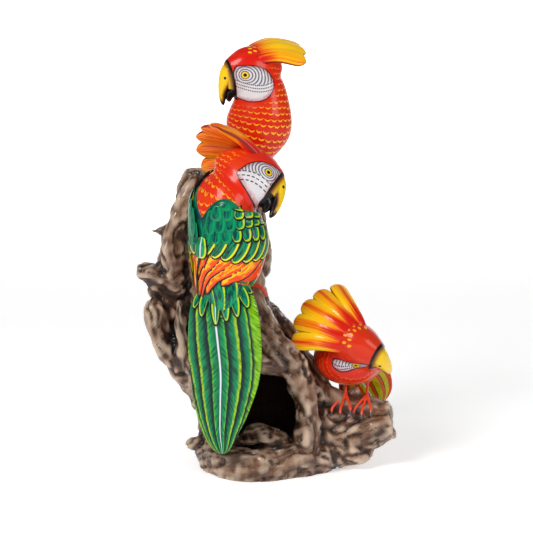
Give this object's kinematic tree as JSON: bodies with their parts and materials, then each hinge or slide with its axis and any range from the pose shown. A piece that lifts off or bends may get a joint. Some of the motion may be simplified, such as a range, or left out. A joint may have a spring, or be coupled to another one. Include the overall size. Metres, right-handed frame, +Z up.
{
  "type": "carved parrot group on driftwood",
  "caption": "Folk carving of crested parrots in bright gloss paint, perched with wire legs on an upright piece of varnished root driftwood with a cave in its base.",
  "frame": {"origin": "middle of the whole outline, on the surface that the driftwood stands on", "axes": "+Z up, -Y to the front with the cave and the long tail, +X towards the sawn root with the lower parrot"},
  "size_m": [0.3099, 0.1948, 0.5033],
  "materials": {
    "driftwood": "worn root wood under a thin satin varnish",
    "lacquer_red": "hand painted red with yellow, glossy",
    "lacquer_green": "hand painted green, orange and yellow, glossy",
    "lacquer_orange": "hand painted orange and yellow, glossy",
    "leg_paint": "orange-red paint on bent wire, worn at the claws"
  },
  "bodies": {
    "root": {"driftwood": "driftwood", "parrot_top": "lacquer_red", "parrot_middle": "lacquer_green", "parrot_lower": "lacquer_orange", "leg_lower_right": "leg_paint", "leg_lower_left": "leg_paint", "leg_middle_right": "leg_paint", "leg_middle_left": "leg_paint", "leg_top_right": "leg_paint", "leg_top_left": "leg_paint"}
  },
  "joints": []
}
